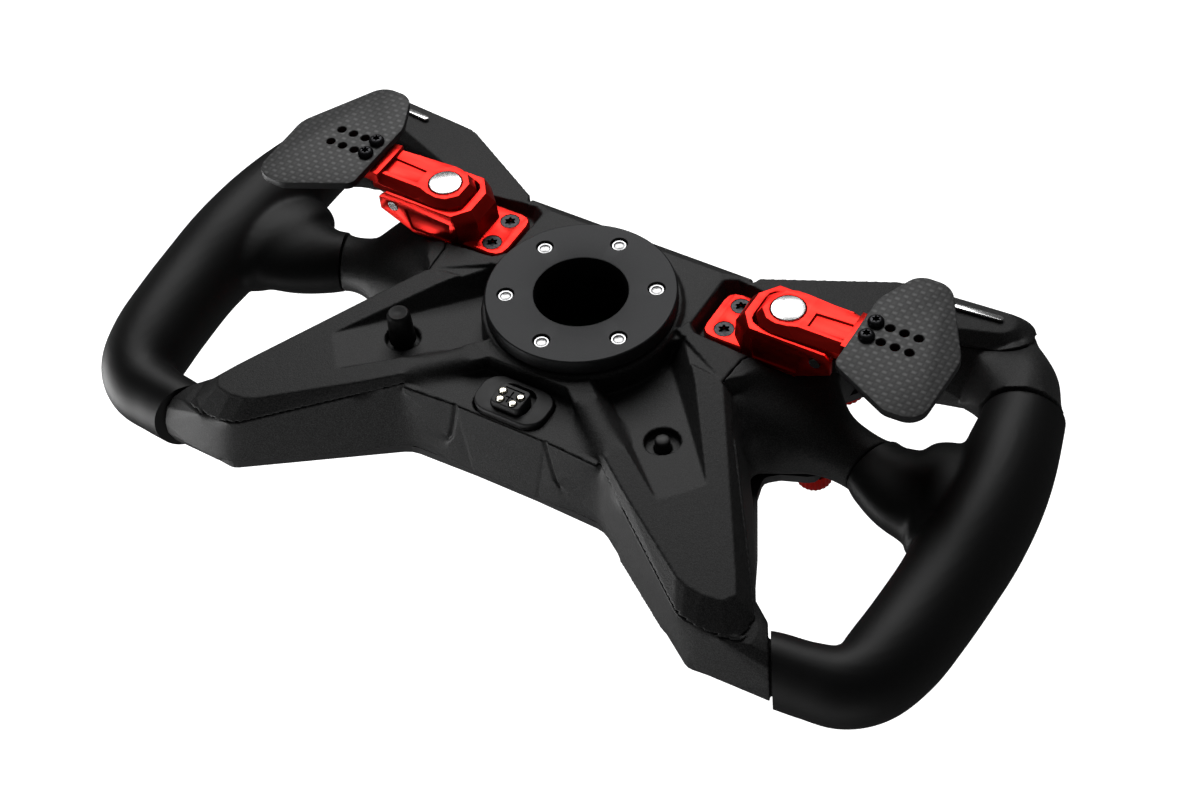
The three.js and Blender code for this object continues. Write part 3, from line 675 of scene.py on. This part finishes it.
def catmull(rows, steps):
    """A smooth line through rows of numbers."""
    rows = np.array(rows, float)
    padded = np.vstack([2 * rows[0] - rows[1], rows, 2 * rows[-1] - rows[-2]])
    line = []
    for a, b, c, d in zip(padded, padded[1:], padded[2:], padded[3:]):
        for t in np.arange(steps) / steps:
            line.append(0.5 * (2 * b + (c - a) * t + (2 * a - 5 * b + 4 * c - d) * t ** 2
                               + (3 * b - a - 3 * c + d) * t ** 3))
    return np.array(line + [rows[-1]])


def swept(line, sides=48):
    """A closed tube along rows of x, y, half-width, half-height, z."""
    vertices, faces = [], []
    heading = np.unwrap(np.arctan2(np.gradient(line[:, 1]), np.gradient(line[:, 0])))
    for (x, y, wide, high, z), angle in zip(line, heading):
        for i in range(sides):
            turn = 2 * math.pi * i / sides
            out = wide * math.cos(turn)
            vertices.append((x - out * math.sin(angle), y + out * math.cos(angle),
                             z + high * math.sin(turn)))
    for row in range(len(line) - 1):
        for i in range(sides):
            j = (i + 1) % sides
            faces.append((row * sides + i, row * sides + j, (row + 1) * sides + j, (row + 1) * sides + i))
    faces.append(tuple(reversed(range(sides))))
    faces.append(tuple(range((len(line) - 1) * sides, len(line) * sides)))
    mesh = mesh_from(vertices, faces)
    made = bmesh.new()
    made.from_mesh(mesh)
    bmesh.ops.recalc_face_normals(made, faces=made.faces)
    made.to_mesh(mesh)
    made.free()
    return mesh


def trimmed(mesh):
    """The grip cut off square at its three seams, a little short of each neck."""
    made = bmesh.new()
    made.from_mesh(mesh)
    for (x, y), heading in GRIP_SEAMS:
        normal = Vector((math.cos(heading), math.sin(heading), 0))
        at = Vector((x, y, 0)) + normal * SEAM_GAP
        everything = made.verts[:] + made.edges[:] + made.faces[:]
        near = [item for item in everything if is_near(item, at)]
        sawn = bmesh.ops.bisect_plane(made, geom=near, plane_co=at, plane_no=normal, clear_inner=True)
        rim = [item for item in sawn["geom_cut"] if isinstance(item, bmesh.types.BMEdge)]
        bmesh.ops.contextual_create(made, geom=rim)
    made.to_mesh(mesh)
    made.free()
    return mesh


def is_near(item, at, reach=30):
    places = [item.co] if isinstance(item, bmesh.types.BMVert) else [v.co for v in item.verts]
    return all((co.xy - at.xy).length < reach for co in places)


def fork(spot):
    """Extra fairing where the branch runs into the grip."""
    x, y = spot[:, 0], spot[:, 1]
    return ramped(x, 112, 8) * ramped(-np.abs(y), -36, 10) * ramped(-x, -150, 8)


def make_grips(look):
    grip_line = [(x, y, wide, high, -35.9 + 0.051 * y) for x, y, wide, high in GRIP_LINE]
    body = joined([swept(catmull(grip_line, 8)), swept(catmull(BRANCH_LINE, 8))])
    shape = soften(remeshed(body, 1.0), 30)
    soften(shape, 80, fork)
    place_pair("soft_grip", trimmed(shape), ROOT, "grip_rubber", [look["rubber"]], "grip", smooth=40)


# ---- hub --------------------------------------------------------------------------------------

BOLT_RADIUS = 25.4


def make_hub(look):
    profile = [
        (19, -27), (29.3, -27), (29.5, -26.8), (29.5, -5.5), (32.4, -5.5), (32.7, -5.2), (32.7, -0.7),
        (32.5, -0.25), (32.1, 0), (16.6, 0), (16.15, -0.15), (16, -0.5), (16, -8.6), (16.6, -9), (19, -9)]
    ring = lathe(profile, 128, closed=True)
    places = [(BOLT_RADIUS * math.cos(math.pi / 2 - i * math.pi / 3),
               BOLT_RADIUS * math.sin(math.pi / 2 - i * math.pi / 3)) for i in range(6)]
    sink = [(2.75, -14), (2.75, -0.35), (3.3, 0.2), (3.3, 2)]
    ring = cut(ring, [lathe([(0.001, -14), *sink, (0.001, 2)], 32, at) for at in places])
    place("hub_ring", ring, ROOT, "hub_black", [look["hub"]], ["hub_flange"], smooth=25)
    insert = [(0.001, -13), (2.45, -13), (2.55, -12.9), (2.55, -0.95), (2.4, -0.75), (1.9, -0.8),
              (1.75, -1.1), (1.3, -1.3), (0.001, -1.35)]
    for i, at in enumerate(places):
        place(f"threaded_insert_{i + 1}", lathe(insert, 32, at), ROOT, "insert_steel",
              [look["insert"]], [f"hub_insert_{i + 1}"])


# ---- paddles ----------------------------------------------------------------------------------

ROWS = (16.5, 23.4)
COLUMNS = (97.6, 102.65, 107.7, 112.75)
PLATE_TOP = 9.1


def make_paddle_plates(look):
    outline = rounded([(93.3, 1.6, 4), (93.3, 34, 9), (100.4, 49.5, 7), (112.4, 49.7, 8), (128.8, 21, 12),
                       (128.2, -8.7, 7), (116, -9.3, 7)])
    sheet = slab(outline, PLATE_TOP - 3, PLATE_TOP, 0.5, 2)
    drills = []
    for y in ROWS:
        for x in COLUMNS:
            radius = 1.8 if x == COLUMNS[0] else 1.6
            drill = [(0.001, 0), (radius, 0), (radius, PLATE_TOP - 0.25),
                     (radius + 0.5, PLATE_TOP + 0.25), (radius + 0.5, 12), (0.001, 12)]
            drills.append(lathe(drill, 28, (x, y)))
    plate = cut(sheet, drills)
    for face in plate.polygons:
        face.material_index = int(abs(face.normal.z) < 0.5)
    place_pair("woven_paddle", plate, "paddle_{}", "carbon_plate", [look["weave"], look["core"]],
               "paddle_plate", smooth=30)


def star(radius, depth_low, depth_high, at, sides=72):
    """A six-lobed driver recess."""
    outline = []
    for i in range(sides):
        angle = 2 * math.pi * i / sides
        reach = radius * (1 + 0.2 * math.cos(6 * angle))
        outline.append((at[0] + reach * math.cos(angle), at[1] + reach * math.sin(angle)))
    return slab(outline, depth_low, depth_high, 0.02, 1)


def make_screws(look):
    top = PLATE_TOP + 0.3
    for i, y in enumerate(ROWS):
        at = (COLUMNS[0], y)
        head = [(0.001, 2.4), (1.4, 2.4), (1.4, top), (2.6, top), (2.8, top + 0.2), (2.75, top + 0.7),
                (2.4, top + 1.25), (1.8, top + 1.6), (1.3, top + 1.7), (0.001, top + 1.7)]
        shape = cut(lathe(head, 40, at), [star(1.25, top + 0.2, top + 3, at)])
        place_pair(f"torx_button_{i + 1}", shape, "paddle_{}", "black_steel", [look["black_steel"]],
                   f"plate_screw_{i + 1}")
    for i, at in enumerate(((46.1, 26.9), (46.1, 15))):
        head = [(0.001, -20.5), (1.45, -20.5), (1.45, -12.4), (3.2, -10.8), (3.4, -10.55), (3.25, -10.4),
                (0.001, -10.4)]
        shape = cut(lathe(head, 40, at), [star(1.75, -12, -9, at)])
        place_pair(f"torx_flush_{i + 1}", shape, ROOT, "black_steel", [look["black_steel"]],
                   f"bracket_screw_{i + 1}")


def make_levers(look):
    reds = [look["red"], look["cut_red"]]
    lever = chamfered(cad_copy("paddle_lever_right"))
    place_pair("red_lever", lever, "paddle_{}", "red_anodised", reds, "paddle_lever", smooth=30)
    bracket = chamfered(cad_copy("paddle_bracket_right"))
    place_pair("red_bracket", bracket, ROOT, "red_anodised", reds, "paddle_bracket", smooth=30)
    disc = [(0.001, -0.8), (5.6, -0.8), (5.8, -0.5), (5.8, 4.3), (5.7, 4.5), (5.5, 4.6), (0.001, 4.6)]
    place_pair("magnet_disc", lathe(disc, 64, (67.4, 20.6)), "paddle_{}", "bright_nickel",
               [look["nickel"]], "lever_magnet")


# ---- connector, rear nub and button ----------------------------------------------------------

POD_Y = -44.5
ISLAND_Y = -45.8


def rounded_box(x, y, half_wide, half_deep, radius):
    """The outline of a rectangle with rounded corners."""
    return rounded([(x - half_wide, y - half_deep, radius), (x + half_wide, y - half_deep, radius),
                    (x + half_wide, y + half_deep, radius), (x - half_wide, y + half_deep, radius)])


def make_connector(look):
    pod = slab(rounded_box(0, POD_Y, 13.2, 8, 6.4), -14.2, -10.4, 0.5)
    window = slab(rounded_box(0, POD_Y, 7, 6.4, 4.4), -13, 0, 0.05, 1)
    place("charging_pod", cut(pod, [window]), ROOT, "connector_black", [look["core"]],
          ["connector_pod"])
    contacts = [(x, ISLAND_Y + y) for x, y in ((-3.4, 0.8), (3.4, 0.8), (-2.4, -2.6), (2.4, -2.6))]
    island = slab(rounded_box(0, ISLAND_Y, 5.5, 4.5, 1.6), -12.6, -7.4, 0.4)
    socket = [(0.001, -11.6), (1.5, -11.6), (1.5, -7.6), (1.7, -7.3), (1.7, -5), (0.001, -5)]
    sockets = [lathe(socket, 28, at) for at in contacts]
    keyways = [box_mesh((-3.6, ISLAND_Y + 2.7, -8.2), (3.6, ISLAND_Y + 3.3, -7)),
               box_mesh((-0.3, ISLAND_Y - 2.9, -8.1), (0.3, ISLAND_Y + 2.2, -7)),
               box_mesh((-1.5, ISLAND_Y - 0.9, -8.1), (1.5, ISLAND_Y - 0.3, -7))]
    place("connector_island", cut(island, sockets + keyways), ROOT, "connector_core", [look["core"]],
          ["connector_insulator"])
    pin = [(0.001, -11.3), (1.2, -11.3), (1.2, -7.0), (1.0, -6.7), (0.6, -6.6), (0.001, -6.6)]
    for i, at in enumerate(contacts):
        place(f"spring_contact_{i + 1}", lathe(pin, 28, at), ROOT, "contact_gold", [look["gold"]],
              [f"contact_pin_{i + 1}"])


def make_rear_buttons(look):
    nub = [(0.001, -20), (2.6, -20), (2.6, -14.6), (4.5, -14.6), (4.6, -14.3), (3.95, -2.6), (3.7, -1.9),
           (3.2, -1.5), (2.4, -1.6), (1.4, -2.0), (0.001, -2.1)]
    place("soft_nub", lathe(nub, 48, (-50.7, -35.2)), "rear_nub_left", "nub_rubber", [look["rubber"]],
          ["rear_nub_left"])
    button = [(0.001, -20), (2.6, -20), (2.6, -13.4), (2.4, -13), (1.9, -12.7), (0.001, -12.65)]
    place("small_button", lathe(button, 40, (50.7, -35.2)), "rear_button_right", "button_black",
          [look["button"]], ["rear_button_right"])


def make_inlays(look):
    """A plain bright bar let into the end of each upper arm."""
    bar = slab(rounded_box(0, 0, 8.5, 1.1, 1.09), -0.5, 0.45, 0.15, 2)
    tilt = Matrix.Rotation(math.atan(0.13), 4, "Y") @ Matrix.Rotation(math.radians(-6), 4, "X")
    turn = Matrix.Rotation(math.radians(12), 4, "Z")
    bar.transform(Matrix.Translation((115.5, 66.8, -17.75)) @ turn @ tilt)
    place_pair("inlay_bar", bar, ROOT, "bright_nickel", [look["nickel"]])


# ---- front controls ---------------------------------------------------------------------------

FACE_Z = -45.8


def knurl(rim):
    """The share by which a knob's rim stands out at each step round it."""
    return lambda radius, z, step: 0.035 * (step % 4 < 2) * (radius > rim * 0.9)


def make_front(look):
    face = FACE_Z - 3.6
    for i, at in enumerate(((22, 26), (58, 36), (104, 57), (26, -28))):
        cap = [(0.001, face + 0.3), (3.6, face), (4.7, face), (5.3, face + 0.3), (5.5, face + 0.9),
               (5.5, -40.2), (5.3, -40), (0.001, -40)]
        place_pair(f"front_cap_{i + 1}", lathe(cap, 48, at), f"front_button_{i + 1}_{{}}",
                   "button_black", [look["button"]], f"front_button_{i + 1}")

    near, far = FACE_Z - 0.3, FACE_Z - 6.9
    for i, (x, y, radius) in enumerate(((76.5, 43, 8.4), (86.4, 2.4, 6.2))):
        cap = [(0.001, far), (radius - 1.4, far), (radius - 0.6, far + 0.5), (radius * 0.965, far + 1.1),
               (radius * 0.965, near - 0.2), (radius - 0.8, near), (2.8, near), (2.8, -40), (0.001, -40)]
        shape = lathe(cap, 96, (x, y), ripple=knurl(radius))
        place_pair(f"knurled_knob_{i + 1}", shape, f"rotary_knob_{i + 1}_{{}}", "red_anodised",
                   [look["red"]], f"rotary_knob_{i + 1}")


def dress_the_rest(look):
    plain = {"front_plate": "core", "circuit_board": "board"}
    pairs = {"grip_core": "nickel", "base_magnet": "nickel", "hinge_pin": "nickel",
             "paddle_switch": "gloss"}
    for node, finish in plain.items():
        dress(node, look[finish])
    for node, finish in pairs.items():
        for side in SIDES:
            dress(f"{node}_{side}", look[finish])


# ---- the whole wheel --------------------------------------------------------------------------

make_camera()
make_studio()
finishes = make_finishes()
make_casing(finishes)
make_grips(finishes)
make_hub(finishes)
make_paddle_plates(finishes)
make_levers(finishes)
make_screws(finishes)
make_connector(finishes)
make_rear_buttons(finishes)
make_inlays(finishes)
make_front(finishes)
dress_the_rest(finishes)
